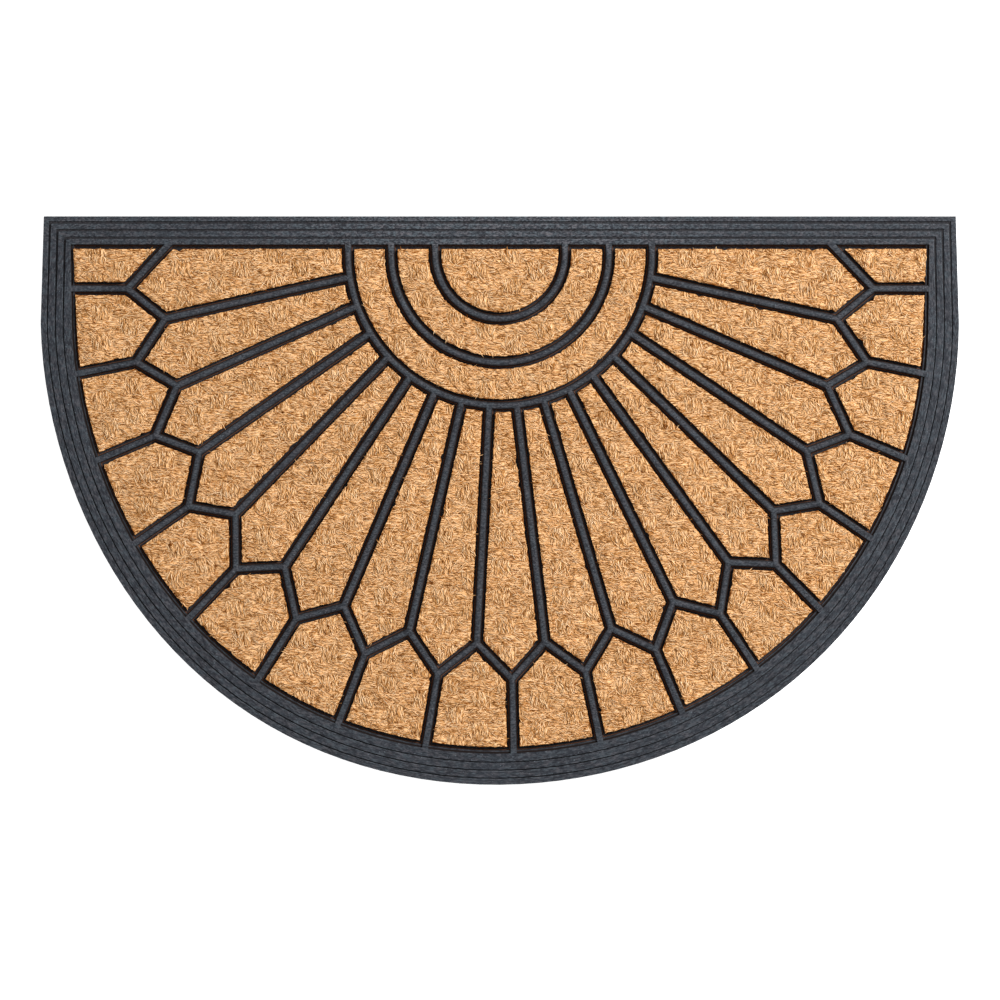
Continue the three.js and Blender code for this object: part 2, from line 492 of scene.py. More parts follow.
border_grown = run_profile(moulding, border_lines, True, border_steps)
pocket_grown = run_profile(moulding, pocket_lines, True, pocket_steps)
parts = [
    border_grown[0],
    pocket_grown[0],
    filled(moulding, given["Rib height"], [border_grown, pocket_grown]),
    filled(moulding, given["Floor height"], [(pocket_lines, True)]),
    filled(moulding, 0.0, [(border_lines, True)], down=True),
]
weld = {"Geometry": joined(moulding, parts), "Distance": 0.01 * MM}
finish_tree(moulding, add(moulding, "GeometryNodeMergeByDistance", weld), given, made)

# %% [markdown]
# ## Effects that both materials share
# Rubber and coir are both uneven: broad patches are a little lighter or darker than others. One
# shader group makes that mottling for both, and each material sets its own patch size and amount.

# %% Shader group: mottling
mottling, given, made = new_tree(
    "Mottling",
    "ShaderNodeTree",
    {"Vector": VECTOR, "Patches per metre": 60.0, "Amount": 0.2},
    {"Factor": FLOAT},
)
patches = noise_at(mottling, given["Vector"], given["Patches per metre"], 3.0)
uneven = calc(mottling, "MULTIPLY", calc(mottling, "SUBTRACT", patches, 0.5), 2.0)
give(mottling, calc(mottling, "MULTIPLY_ADD", uneven, given["Amount"], 1.0), made["Factor"])


def new_material(name, **fixed):
    """A material with a Principled shader whose unchanging values are set on its own sockets."""
    material = bpy.data.materials.new(name)
    material.use_nodes = True
    shader = material.node_tree.nodes["Principled BSDF"]
    for socket, value in fixed.items():
        shader.inputs[socket.replace("_", " ")].default_value = value
    return material, material.node_tree, shader


def object_place(tree):
    """Where a point lies on the mat."""
    return add(tree, "ShaderNodeTexCoord").outputs["Object"]


def carried(tree, name):
    """A number that the shape carries, read from its attribute."""
    return add(tree, "ShaderNodeAttribute", attribute_name=name).outputs["Fac"]


def mixed(tree, factor, first, second):
    """The colour between two colours."""
    return add(tree, "ShaderNodeMix", {0: factor, 6: first, 7: second}, data_type="RGBA").outputs[2]


def between(tree, factor, first, second):
    """The number between two numbers."""
    return add(tree, "ShaderNodeMix", {0: factor, 2: first, 3: second}, data_type="FLOAT").outputs[0]


def link_normal(tree, shader, height, reach, strength):
    """Turns a height into a bumpy normal."""
    bump = add(tree, "ShaderNodeBump", {"Height": height, "Distance": reach, "Strength": strength})
    give(tree, bump, shader.inputs["Normal"])


# %% [markdown]
# ## The look of the rubber
# Moulded rubber of this kind is a blue-black that never looks even: it is mottled from the mould,
# and fine pale dust sits in its pores, now bluish and now greyer. Its corners, grooves and hollows
# are painted near-black as painted shade, and deep in the pockets that painted shade is brown.
# Rounded edges are painted paler, partly as the edges that shoes rub and partly as painted
# highlight, and most dust lies in the middle of the straight edge, at the door. Round the curve the
# dust is drawn out along the bands, so there its noise is read in a place measured round the curve.
# Layers of colour, from large to small, make all that, and dust also gives a bump.

# %% Material: charcoal rubber
CURVE_CENTRE_Y = 0.147  # the curve is nearly a circle about this place on the middle line
STREAK_SQUEEZE = 0.1  # metres for each radian: streaks are drawn out to 3.7 times their width
DUST_GRAINS = 850.0  # per metre
DEEP_RUBBER = (0.005, 0.006, 0.010, 1)
PALE_RUBBER = (0.011, 0.014, 0.020, 1)
BLUE_DUST = (0.068, 0.084, 0.098, 1)
GREY_DUST = (0.091, 0.088, 0.098, 1)
SPECK = (0.16, 0.19, 0.22, 1)
# The paler colour of worn edges and painted highlight, then the near-black and the brown of painted
# shade.
RUBBED_AND_HIGHLIGHT = (0.10, 0.115, 0.135, 1)
PAINTED_SHADE_BLACK = (0.008, 0.004, 0.003, 1)
PAINTED_SHADE_BROWN = (0.13, 0.048, 0.018, 1)

rubber, tree, shader = new_material("charcoal_rubber", Specular_IOR_Level=0.24)
place = object_place(tree)
x, y, z = split(tree, place)
patch_inputs = {"Vector": place, "Patches per metre": 90.0, "Amount": 0.55}
patch = add(tree, "ShaderNodeGroup", patch_inputs, node_tree=mottling).outputs["Factor"]
charcoal = mixed(tree, ease(tree, patch, 0.75, 1.3), DEEP_RUBBER, PALE_RUBBER)

drawn_out = add(tree, "ShaderNodeMapping", {"Vector": place, "Scale": (0.55, 1.0, 1.0)})
past_centre = calc(tree, "SUBTRACT", y, CURVE_CENTRE_Y)
curve_radius = vectors(tree, "LENGTH", xyz(tree, x, past_centre))
round_curve = calc(tree, "MULTIPLY", calc(tree, "ARCTAN2", past_centre, x), STREAK_SQUEEZE)
unrolled = xyz(tree, curve_radius, round_curve, z)
at_door = ease(tree, y, 0.195, 0.212)
on_curve = calc(tree, "SUBTRACT", ease(tree, curve_radius, 0.340, 0.348), at_door)
straight_dust = noise_at(tree, drawn_out, DUST_GRAINS, 4.0, Roughness=0.7)
curved_dust = noise_at(tree, unrolled, DUST_GRAINS, 4.0, Roughness=0.7)
dust = between(tree, on_curve, straight_dust, curved_dust)
mid_door = calc(tree, "SUBTRACT", 1.0, ease(tree, calc(tree, "ABSOLUTE", x), 0.06, 0.24))
trodden = calc(tree, "MULTIPLY", at_door, calc(tree, "MULTIPLY_ADD", mid_door, 0.52, 0.08))
dusty = calc(tree, "MULTIPLY", ease(tree, dust, 0.40, 0.66), calc(tree, "ADD", trodden, 0.58))
hue = noise_at(tree, drawn_out, 300.0, 2.0)
dust_tint = mixed(tree, ease(tree, hue, 0.4, 0.6), BLUE_DUST, GREY_DUST)
charcoal = mixed(tree, calc(tree, "MULTIPLY", dusty, 0.85), charcoal, dust_tint)

grain = noise_at(tree, place, 900.0, 3.0)
specks = ease(tree, grain, 0.64, 0.74)
charcoal = mixed(tree, calc(tree, "MULTIPLY", specks, 0.6), charcoal, SPECK)
# Painted highlight with worn paleness: edges whose number is above 0 are painted paler where dusty.
wear = carried(tree, "wear")
rubbed_and_highlight = calc(tree, "MULTIPLY", calc(tree, "MAXIMUM", wear, 0.0), dusty)
charcoal = mixed(tree, calc(tree, "MULTIPLY", rubbed_and_highlight, 0.5), charcoal, RUBBED_AND_HIGHLIGHT)
# Painted shade: hollows whose number is below 0 are painted near-black, brown low in the pockets,
# and there the rubber is also rougher.
painted_shade = calc(tree, "MAXIMUM", calc(tree, "MULTIPLY", wear, -1.0), 0.0)
low = calc(tree, "SUBTRACT", 1.0, ease(tree, z, 2.6 * MM, 4.6 * MM))
brown_shade = calc(tree, "MULTIPLY", low, ease(tree, painted_shade, 0.5, 0.7))
charcoal = mixed(tree, painted_shade, charcoal, mixed(tree, brown_shade, PAINTED_SHADE_BLACK, PAINTED_SHADE_BROWN))
give(tree, charcoal, shader.inputs["Base Color"])
rough = calc(tree, "MULTIPLY_ADD", grain, 0.3, 0.45)
give(tree, calc(tree, "MULTIPLY_ADD", painted_shade, 0.4, rough), shader.inputs["Roughness"])
link_normal(tree, shader, dust, 0.5 * MM, 0.6)

# %% [markdown]
# ## Making the rubber moulding
# The tree needs the outlines as bare edges, with what each point carries: the move that takes it
# inwards, the border's width there, the size of the detail (a groove's width on the border, how far
# the edge is rounded on a pocket) and the ledge. The solids have plain walls. On the real mat the
# pockets reach a little farther into the border, and there they have the ledge.

# %% Functions that prepare the outlines
STRAIGHT_EDGE_Y = max(corner.y for corner in mat_outline) - 1 * MM  # points past it lie on that edge


def way_to_border(point, straight):
    """The distance and direction from a point to the mat's straight or round edge."""
    ways = []
    for _, start, end in neighbours(mat_outline):
        if (min(start.y, end.y) > STRAIGHT_EDGE_Y) == straight:
            side = end - start
            share = (point - start).dot(side) / side.length_squared
            ways.append(start + side * min(1, max(0, share)) - point)
    way = min(ways, key=lambda candidate: candidate.length)
    return way.length, way.normalized()


def moves_to_border(points, straight, limit):
    """For each point within the limit of the border, the move that takes its side one unit nearer.

    The end points of that side move along the sides beside it, so these keep their direction.
    """
    ways = [way_to_border(point, straight) for point in points]
    facing = [distance < limit for distance, _ in ways]
    moves = []
    for index, (_, outward) in enumerate(ways):
        direction = outward
        for other in (index - 1, (index + 1) % len(points)):
            if facing[index] and not facing[other]:
                direction = (points[index] - points[other]).normalized()
        moves.append(direction * (1.0 / direction.dot(outward)) * facing[index])
    return moves


# %% The moulding itself
BORDER_STRAIGHT = 24.3 * MM  # width of the border along the straight edge
BORDER_ROUND = 25.3 * MM  # and round the curve
GROOVE_STRAIGHT = 2.1 * MM
GROOVE_ROUND = 0.8 * MM
FOOT_INSET = 0.9 * MM  # where the hollow foot of a rib's wall starts, from the solid's wall
CROWN_RIB = 1.75 * MM  # how far the edge is rounded along a rib
CROWN_BORDER = 0.5 * MM
WALL_TO_EDGE = 27.8 * MM  # solid walls this near to the round edge face the border
WALL_TO_STRAIGHT = 25.2 * MM
ROUND_REACH = 1.2 * MM  # how much farther the pockets reach than in the solid
STRAIGHT_REACH = 0.8 * MM
LEDGE_WIDTH = 2.1 * MM
NO_LEDGE = Vector((0, 0))


def outline_rows():
    """For each outline, a row for each of its points: (place, height, what the point carries)."""
    rows = []
    for point, move in zip(mat_outline, inward_mitres(mat_outline)):
        straight = point.y > STRAIGHT_EDGE_Y
        border = BORDER_STRAIGHT if straight else BORDER_ROUND
        groove = GROOVE_STRAIGHT if straight else GROOVE_ROUND
        rows.append((point, 0.0, (move, NO_LEDGE, border, groove, 0.0)))
    loops = [rows]
    for points in pockets:
        to_round = moves_to_border(points, False, WALL_TO_EDGE)
        to_straight = moves_to_border(points, True, WALL_TO_STRAIGHT)
        ways = list(zip(to_round, to_straight))
        reached = [
            point + outward * ROUND_REACH + up * STRAIGHT_REACH
            for point, (outward, up) in zip(points, ways)
        ]
        rows = []
        for point, move, (outward, up) in zip(reached, inward_mitres(reached), ways):
            ledge = outward * LEDGE_WIDTH
            rounded = CROWN_BORDER if outward.length + up.length else CROWN_RIB
            foot = point + move * FOOT_INSET - ledge
            rows.append((foot, FLOOR_TOP, (move, ledge, 0.0, rounded, -1.0)))
        loops.append(rows)
    return loops


def set_values(mesh, name, values, data_type="FLOAT", domain="POINT"):
    """Notes a value on each point or edge of a mesh."""
    field = "vector" if data_type == "FLOAT_VECTOR" else "value"
    data = mesh.attributes.new(name, data_type, domain).data
    data.foreach_set(field, np.array(values).ravel())


def outline_edges():
    """A mesh of the bare closed outlines, with what their points carry."""
    loops = outline_rows()
    edges = []
    for rows in loops:
        first = len(edges)
        edges += [(first + index, first + (index + 1) % len(rows)) for index in range(len(rows))]
    rows = sum(loops, [])
    mesh = bpy.data.meshes.new("outlines")
    mesh.from_pydata([(*point, height) for point, height, _ in rows], edges, [])
    for column, name in enumerate(["inward", "ledge", "border", "detail", "wear"]):
        values = [carries[column] for _, _, carries in rows]
        if isinstance(values[0], Vector):
            set_values(mesh, name, [(*value, 0.0) for value in values], "FLOAT_VECTOR")
        else:
            set_values(mesh, name, values)
    set_values(mesh, "pocket", [height > 0 for _, height, _ in rows], "BOOLEAN", "EDGE")
    return mesh


def finish_faces(mesh, sharp_degrees):
    """Faces point outwards, and smooth up to a sharp edge. Returns how many edges are open."""
    shape = bmesh.new()
    shape.from_mesh(mesh)
    bmesh.ops.recalc_face_normals(shape, faces=shape.faces)
    open_edges = sum(not edge.is_manifold for edge in shape.edges)
    shape.to_mesh(mesh)
    shape.free()
    mesh.shade_smooth()
    mesh.set_sharp_from_angle(angle=math.radians(sharp_degrees))
    return open_edges


moulded_tray = run_tree("moulded_tray", outline_edges(), moulding, {"Material": rubber})
open_edges = finish_faces(moulded_tray.data, 35)
print("tray faces", len(moulded_tray.data.polygons), "open edges", open_edges)
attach(moulded_tray, "root")
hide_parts("rubber_tray")

# %% [markdown]
# ## How the coir is woven
# The coir was woven as one large mat and cut up, so the weave runs the same way in every piece.
# Thick strands of fibre run across it, and every so often a strand the other way passes over
# them: in the photograph these are staggered patches whose fibres stand upright. One node group
# says, for any place on the mat, whether it is such a patch, which way the fibres run there and
# how high the strand humps up. The inlays and the loose fibres both ask it, so they agree.

# %% Node group: the weave at a place
SLANT_ACROSS = 0.068  # the weave lies a little askew on the mat
SLANT_ALONG = 0.0085

weave, given, made = new_tree(
    "Weave",
    "GeometryNodeTree",
    {
        "Period": 48.2 * MM,  # from one upright patch to the next in a row
        "Row": 12.06 * MM,
        "Patch share": 0.17,
        "Wander": 3.0 * MM,
        "Unruly": 0.5,
    },
    {"Upright": FLOAT, "Turn": FLOAT, "Lift": FLOAT},
)
place = add(weave, "GeometryNodeInputPosition")
flat = vectors(weave, "MULTIPLY", place, (1, 1, 0))
across, along, _ = split(weave, flat)
drift = add(weave, "ShaderNodeTexNoise", {"Vector": flat, "Scale": 45.0, "Detail": 1.0})
drift_x, drift_y, _ = split(weave, drift.outputs["Color"])


def askew(own, other, slant, noise_value):
    """A coordinate of the weave: sheared, and shifted by the drift."""
    sheared = calc(weave, "MULTIPLY_ADD", other, slant, own)
    shift = calc(weave, "MULTIPLY", calc(weave, "SUBTRACT", noise_value, 0.5), given["Wander"])
    return calc(weave, "MULTIPLY_ADD", shift, 2.0, sheared)


weave_x = askew(across, along, SLANT_ACROSS, drift_x)
weave_y = calc(weave, "DIVIDE", askew(along, across, SLANT_ALONG, drift_y), given["Row"])
row = calc(weave, "FLOOR", weave_y)
in_row = calc(weave, "SUBTRACT", weave_y, row)
shuffle = add(weave, "ShaderNodeTexWhiteNoise", {"W": row}, noise_dimensions="1D").outputs["Value"]
stagger = calc(weave, "MULTIPLY", calc(weave, "FLOORED_MODULO", row, 2.0), 0.5)
stagger = calc(weave, "MULTIPLY_ADD", shuffle, 0.12, stagger)
periods = calc(weave, "ADD", calc(weave, "DIVIDE", weave_x, given["Period"]), stagger)
in_period = calc(weave, "FRACT", periods)
from_middle = calc(weave, "ABSOLUTE", calc(weave, "SUBTRACT", in_period, 0.5))
past_patch = calc(weave, "SUBTRACT", from_middle, given["Patch share"])
upright = ease(weave, past_patch, 0.025, -0.025)
hump_along = ease(weave, calc(weave, "ABSOLUTE", past_patch), 0.0, 0.09)
hump_across = calc(weave, "SINE", calc(weave, "MULTIPLY", in_row, math.pi))
hump_across = calc(weave, "POWER", hump_across, 0.5)
tangle = calc(weave, "SUBTRACT", noise_at(weave, flat, 130.0, 1.0), 0.5)
unruly = calc(weave, "MULTIPLY", calc(weave, "MULTIPLY", tangle, given["Unruly"]), 2.0)
give(weave, upright, made["Upright"])
give(weave, calc(weave, "MULTIPLY_ADD", upright, math.pi / 2, unruly), made["Turn"])
give(weave, calc(weave, "MULTIPLY", hump_along, hump_across), made["Lift"])

# %% [markdown]
# ## The look of coir
# Coir is the fibre of coconut husks. No two fibres have the same colour: they run from dark brown
# to pale straw. The group turns a tone from 0 to 1 into such a colour, with broad patches where the
# whole bundle is paler or redder. The inlay under the fibres uses it with low tones only, as painted
# shade for the depths between the fibres, and the loose fibres on top with all of them.

# %% Shader group: coir colour
COIR_TONES = [
    (0.00, (0.16, 0.043, 0.004, 1)),
    (0.22, (0.44, 0.200, 0.056, 1)),
    (0.50, (0.70, 0.415, 0.195, 1)),
    (0.80, (0.79, 0.530, 0.298, 1)),
    (1.00, (0.81, 0.600, 0.385, 1)),
]
PATCHY_COIR = 0.15  # how much lighter or darker its broad patches are

coir_colour, given, made = new_tree(
    "Coir colour",
    "ShaderNodeTree",
    {"Vector": VECTOR, "Tone": 0.5, "Patchy": PATCHY_COIR},
    {"Color": COLOUR},
)
patch_inputs = {"Vector": given["Vector"], "Patches per metre": 55.0, "Amount": given["Patchy"]}
patch = add(coir_colour, "ShaderNodeGroup", patch_inputs, node_tree=mottling).outputs["Factor"]
ramp = add(coir_colour, "ShaderNodeValToRGB", {"Fac": given["Tone"]})
stops = ramp.color_ramp.elements
while len(stops) < len(COIR_TONES):
    stops.new(0.5)
for stop, (position, colour) in zip(stops, COIR_TONES):
    stop.position = position
    stop.color = colour
give(coir_colour, vectors(coir_colour, "SCALE", ramp, patch), made["Color"])

# %% [markdown]
# ## Material of the woven inlays
# Under the loose fibres the strands themselves are packed fibres too. Noise that is stretched
# along the strand draws them: one copy runs across the mat, one up it, and the weave's own
# attribute picks between them. Their tones are held low, as painted shade under the pile, and the
# cut sides are painted darker and browner, as painted shade.

# %% Material: woven coir
woven_coir, tree, shader = new_material("woven_coir", Roughness=0.9, Specular_IOR_Level=0.1)
place = object_place(tree)
streaks = []
for stretch in [(150.0, 1500.0, 600.0), (1500.0, 150.0, 600.0)]:
    squeezed = add(tree, "ShaderNodeMapping", {"Vector": place, "Scale": stretch})
    streaks.append(noise_at(tree, squeezed, 1.0, 3.0, Distortion=0.6))
streak = between(tree, carried(tree, "upright"), *streaks)
# Painted shade: the tone is held low, as the depths between the fibres look in shade.
tone = calc(tree, "MULTIPLY", ease(tree, streak, 0.36, 0.66), 0.7)
# Painted shade: faces that turn away from straight up are painted darker and browner.
facing_up = split(tree, add(tree, "ShaderNodeTexCoord").outputs["Normal"])[2]
painted_side_shade = calc(tree, "SUBTRACT", 1.0, ease(tree, facing_up, 0.3, 0.8))
tone = calc(tree, "MULTIPLY_ADD", painted_side_shade, -0.4, tone)
tint = add(tree, "ShaderNodeGroup", {"Vector": place, "Tone": tone}, node_tree=coir_colour)
give(tree, tint, shader.inputs["Base Color"])
link_normal(tree, shader, streak, 1.0 * MM, 0.8)

# %% [markdown]
# ## Material of the loose fibres
# Each fibre carries a tone of its own. Fine flecks vary it along the fibre, clumps of darker
# fibres are let in with a coarser noise, and fibres near the cut edge are painted darker, as painted
# shade.

# %% Material: loose coir fibres
loose_coir, tree, shader = new_material("loose_coir", Roughness=0.8, Specular_IOR_Level=0.05)
place = object_place(tree)
flecks = noise_at(tree, place, 500.0, 2.0)
tone = carried(tree, "tone")
tone = calc(tree, "MULTIPLY_ADD", calc(tree, "SUBTRACT", flecks, 0.5), 0.5, tone)
# Painted shade: fibres near the cut edge are painted darker.
tone = calc(tree, "MULTIPLY_ADD", carried(tree, "rim"), -0.5, tone)
clumps = ease(tree, noise_at(tree, place, 240.0, 2.0), 0.57, 0.72)
tone = calc(tree, "MULTIPLY_ADD", clumps, -0.4, tone)
tint = add(tree, "ShaderNodeGroup", {"Vector": place, "Tone": tone}, node_tree=coir_colour)
give(tree, tint, shader.inputs["Base Color"])
link_normal(tree, shader, flecks, 0.2 * MM, 0.25)

# %% [markdown]
# ## Cutting the inlays
# Each inlay is cut from the woven mat with a blade, so its outline is the solid's, but a little
# ragged, with a nick here and there where a fibre bundle pulled out. The flat piece needs points
# all over it, so that the weave can lift them. A triangular lattice of points inside the outline,
# joined by a Delaunay triangulation, gives even triangles right up to a slanting edge. On the side
# of the round border the real pieces come a little nearer to it than the solids do.

# %% Functions that cut a flat blank
EDGE_STEP = 1.3 * MM  # between points along the cut edge
LATTICE_STEP = 2.1 * MM
LATTICE_JITTER = 0.2  # of the step, so that the lattice doesn't show
RAGGED = 0.45 * MM
EDGE_LOSS = 0.35 * MM  # what has fallen off the cut edge
NICK_DEPTH = 5.0 * MM
NICK_RARITY = 0.42
NICK_SLOPE = 0.4  # a nick is no deeper than this share of its distance from a corner


def cut_edge(points):
    """The ragged outline that the blade leaves along the clean one."""
    ragged = []
    for (_, point, after), corner_move in zip(neighbours(points), inward_mitres(points)):
        side = after - point
        steps = max(1, round(side.length / EDGE_STEP))
        straight_in = Vector((-side.y, side.x)).normalized()
        for step in range(steps):
            place = point + side * step / steps
            move = straight_in if step else corner_move
            wander = noise.noise(Vector((place.x, place.y, 0)) * 330) * RAGGED
            wander += noise.noise(Vector((place.x, place.y, 3)) * 900) * RAGGED * 0.6
            nick = max(0, noise.noise(Vector((place.x, place.y, 8)) * 120) - NICK_RARITY)
            nick = min(nick * NICK_DEPTH, min(step, steps - step) * EDGE_STEP * NICK_SLOPE)
            ragged.append(place + move * (EDGE_LOSS + wander + nick))
    return ragged


def lattice_inside(outline, margin):
    """Points of a triangular lattice that lie inside the outline, at least a margin from it."""
    corners = np.array([tuple(point) for point in outline])
    low = corners.min(axis=0)
    high = corners.max(axis=0)
    columns = np.arange(low[0], high[0], LATTICE_STEP)
    rows = np.arange(low[1], high[1], LATTICE_STEP * math.sqrt(3) / 2)
    grid_x, grid_y = np.meshgrid(columns, rows)
    grid_x = grid_x + (np.arange(len(rows)) % 2)[:, None] * LATTICE_STEP / 2
    spots = np.stack([grid_x.ravel(), grid_y.ravel()], axis=1)
    random = np.random.default_rng(len(outline))
    jitter = random.uniform(-LATTICE_JITTER, LATTICE_JITTER, spots.shape)
    spots = spots + jitter * LATTICE_STEP
    start = corners[None]
    side = np.roll(corners, -1, axis=0)[None] - start
    reach = spots[:, None] - start
    share = np.clip((reach * side).sum(2) / (side**2).sum(2), 0, 1)
    gap = np.linalg.norm(reach - share[..., None] * side, axis=2).min(axis=1)
    level = spots[:, None, 1]
    passes = (start[..., 1] <= level) != (start[..., 1] + side[..., 1] <= level)
    rise = np.where(side[..., 1] == 0, 1, side[..., 1])
    crossing = start[..., 0] + reach[..., 1] / rise * side[..., 0]
    inside = (passes & (spots[:, None, 0] < crossing)).sum(axis=1) % 2 == 1
    return spots[inside & (gap > margin)]


def blank_mesh(name, outline):
    """The flat ragged piece as even triangles, which know the way inwards at their edge."""
    ragged = cut_edge(outline)
    spots = ragged + [Vector(spot) for spot in lattice_inside(ragged, EDGE_STEP * 0.7)]
    count = len(ragged)
    sides = [(index, (index + 1) % count) for index in range(count)]
    points, _, triangles, origin, _, _ = delaunay_2d_cdt(spots, sides, [], 1, 1e-7)
    mesh = bpy.data.meshes.new(name)
    mesh.from_pydata([(point.x, point.y, 0.0) for point in points], [], triangles)
    moves = [(min(1.5, move.length) * move.normalized()) for move in inward_mitres(ragged)]
    inward = [
        (*moves[sources[0]], 0.0) if sources and sources[0] < count else (0.0, 0.0, 0.0)
        for sources in origin
    ]
    set_values(mesh, "inward", inward, "FLOAT_VECTOR")
    return mesh


# %% The blanks
COIR_TOP = 8.6 * MM
COIR_TO_EDGE = 31.9 * MM  # solid sides this near to the round edge face the border
COIR_REACH = 1.0 * MM  # how much nearer to the border the real pieces come, halfway up the mat
REACH_GROWTH = 4.3 * MM  # and how much more of that per metre up the mat

outlines = {}
blanks = {}
for name in INLAYS:
    outlines[name] = level_outlines(name, COIR_TOP, 1)[0]
    moves = moves_to_border(outlines[name], False, COIR_TO_EDGE)
    reached = [
        point + move * (COIR_REACH + REACH_GROWTH * point.y)
        for point, move in zip(outlines[name], moves)
    ]
    blanks[name] = blank_mesh(name, reached)
print("triangles on the blanks", sum(len(mesh.polygons) for mesh in blanks.values()))

# %% [markdown]
# ## Raising the weave
# The tree lifts each point of the flat blank by what the weave says there, and by a finer ruffle
# of the fibre bundles. Then the profile step from the rubber moulding comes back: it runs the cut
# edge down to the underside, with a slight belly, because cut coir spreads.

# %% Geometry Nodes tree: woven inlay
inlay, given, made = new_tree(
    "Woven inlay",
    "GeometryNodeTree",
    {
        "Geometry": GEOMETRY,
        "Underside height": 2.8 * MM,
        "Valley height": 7.5 * MM,
        "Strand hump": 0.7 * MM,
        "Ruffle": 1.1 * MM,
        "Material": MATERIAL,
    },
    {"Geometry": GEOMETRY},
)
here = add(inlay, "GeometryNodeGroup", node_tree=weave)
lift = here.outputs["Lift"]
flat = note(inlay, given["Geometry"], "upright", here.outputs["Upright"])
ruffle = add(inlay, "ShaderNodeTexNoise", {"Scale": 260.0, "Detail": 2.0}).outputs[0]
ruffle = calc(inlay, "MULTIPLY", calc(inlay, "SUBTRACT", ruffle, 0.5), given["Ruffle"])
height = calc(inlay, "MULTIPLY_ADD", lift, given["Strand hump"], given["Valley height"])
raised = moved(inlay, flat, xyz(inlay, z=calc(inlay, "ADD", height, ruffle)))
edge_faces = add(inlay, "GeometryNodeInputMeshEdgeNeighbors")
at_edge = {"A": edge_faces, "B": 1}
at_edge = add(inlay, "FunctionNodeCompare", at_edge, data_type="INT", operation="EQUAL").outputs[0]
belly = [
    (-0.15 * MM, -0.45 * MM, 0, {}),
    (-0.15 * MM, -1.6 * MM, 0, {}),
    (0.25 * MM, -1.0 * MM, 0, {}),
]
sides, front = run_profile(inlay, raised, at_edge, belly)
x, y, _ = split(inlay, add(inlay, "GeometryNodeInputPosition"))
level = xyz(inlay, x, y, given["Underside height"])
levelled = {"Geometry": sides, "Selection": front, "Position": level}
levelled = add(inlay, "GeometryNodeSetPosition", levelled).outputs[0]
underside = filled(inlay, given["Underside height"], [(levelled, front)], down=True)
weld = {"Geometry": joined(inlay, [levelled, underside]), "Distance": 0.002 * MM}
finish_tree(inlay, add(inlay, "GeometryNodeMergeByDistance", weld), given, made)

# %% The 38 woven inlays
woven = {}
for name in INLAYS:
    piece = run_tree(name.replace("coir_", "woven_"), blanks[name], inlay, {"Material": woven_coir})
    open_edges = finish_faces(piece.data, 60)
    woven[name] = piece
    if open_edges:
        print(piece.name, "has open edges", open_edges)
print("faces of the inlays", sum(len(piece.data.polygons) for piece in woven.values()))

# %% [markdown]
# ## The pile of loose fibres
# What the eye sees of coir is its loose fibres: short, bent, tapered hairs that lie along the
# strands and catch the light one by one. Hair curves would do in Blender, but the exported part
# needs real faces. So the tree scatters points on the top of an inlay, lays a short line on each,
# turns it the way the weave runs, bends it, trims it at the cut edge as the blade did, and gives
# it a thin three-sided body. A few stray fibres are let past the edge.

# %% Geometry Nodes tree: coir pile
POINTS_ALONG_FIBRE = 4

pile, given, made = new_tree(
    "Coir pile",
    "GeometryNodeTree",
    {
        "Geometry": GEOMETRY,
        "Fibres per square metre": 365000.0,
        "Fibre length": 8.0 * MM,
        "Fibre radius": 0.33 * MM,
        "Pile lift": 0.9 * MM,
        "Arch": 0.8 * MM,
        "Curl": 2.4 * MM,
        "Spread": 0.55,
        "Past the cut": 0.25 * MM,
        "Stray reach": 2.6 * MM,
        "Seed": 0,
        "Material": MATERIAL,
    },
    {"Geometry": GEOMETRY},
)


def random_between(low, high, seed):
    """A number between two for each fibre, the same in every run."""
    limits = {"Min": low, "Max": high, "Seed": seed}
    return add(pile, "FunctionNodeRandomValue", limits, data_type="FLOAT").outputs[1]


normal_z = split(pile, add(pile, "GeometryNodeInputNormal"))[2]
upper = add(
    pile,
    "GeometryNodeSeparateGeometry",
    {"Geometry": given["Geometry"], "Selection": calc(pile, "GREATER_THAN", normal_z, 0.4)},
    domain="FACE",
)
scatter = {"Mesh": upper, "Density": given["Fibres per square metre"], "Seed": given["Seed"]}
spots = add(pile, "GeometryNodeDistributePointsOnFaces", scatter).outputs["Points"]
here = add(pile, "GeometryNodeGroup", node_tree=weave)
spots = note(pile, spots, "turn", here.outputs["Turn"])
spots = note(pile, spots, "tone", random_between(0.1, 0.92, 1))
spots = note(pile, spots, "stray", random_between(0.0, 1.0, 2))
spots = note(pile, spots, "girth", random_between(0.65, 1.2, 3))
spots = note(pile, spots, "raise", random_between(0.0, 1.0, 4))

line = add(pile, "GeometryNodeCurvePrimitiveLine", {"Start": (-0.5, 0, 0), "End": (0.5, 0, 0)})
line = add(pile, "GeometryNodeResampleCurve", {"Curve": line, "Count": POINTS_ALONG_FIBRE})
twist = calc(pile, "MULTIPLY", random_between(-1.0, 1.0, 5), given["Spread"])
second_twist = calc(pile, "MULTIPLY", random_between(-1.0, 1.0, 6), given["Spread"])
heading = calc(pile, "ADD", noted(pile, "turn"), calc(pile, "ADD", twist, second_twist))
turned = add(pile, "FunctionNodeEulerToRotation", {0: xyz(pile, z=heading)})
own_length = calc(pile, "MULTIPLY", given["Fibre length"], random_between(0.5, 1.3, 7))
stretched = xyz(pile, own_length, 1.0, 1.0)
laid = {"Points": spots, "Instance": line, "Rotation": turned, "Scale": stretched}
laid = add(pile, "GeometryNodeInstanceOnPoints", laid)
lines = add(pile, "GeometryNodeRealizeInstances", {"Geometry": laid})

